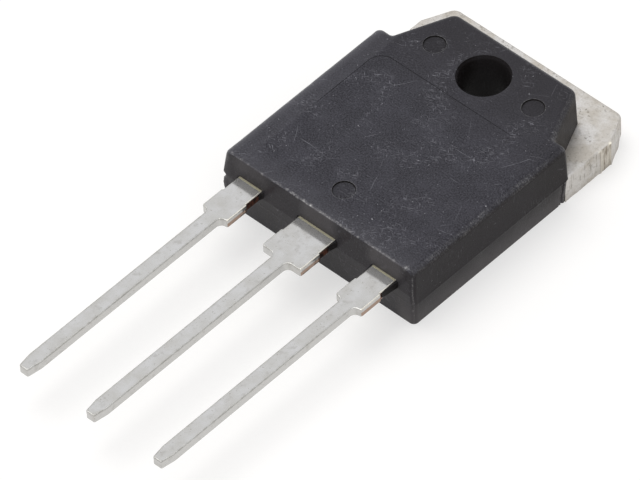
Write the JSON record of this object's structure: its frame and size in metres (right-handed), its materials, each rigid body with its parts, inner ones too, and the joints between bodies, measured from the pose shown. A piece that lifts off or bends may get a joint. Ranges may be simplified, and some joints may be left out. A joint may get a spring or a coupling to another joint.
{
  "type": "power transistor",
  "caption": "Flat moulded power transistor with leads in a row at one end and a drilled metal mounting tab at the other.",
  "frame": {"origin": "axis of the mounting hole at the metal back face", "axes": "+X across the leads, +Y from the leads to the tab end, +Z out of the top of the case"},
  "size_m": [0.0156, 0.0391, 0.0048],
  "materials": {
    "case_epoxy": "black moulded epoxy, finely matt on top, scuffed",
    "flange_plating": "dull nickel plating on copper, stained",
    "tinned_leads": "satin tin over copper, bare copper where sheared",
    "silicon": "polished silicon",
    "solder": "dull solder",
    "aluminium_wire": "drawn wire"
  },
  "bodies": {
    "root": {"moulded_case": "case_epoxy", "heat_sink_flange": "flange_plating", "base_lead": "tinned_leads", "collector_lead": "tinned_leads", "emitter_lead": "tinned_leads", "silicon_chip": "silicon", "die_solder": "solder", "base_wire": "aluminium_wire", "emitter_wire_1": "aluminium_wire", "emitter_wire_2": "aluminium_wire"}
  },
  "joints": []
}
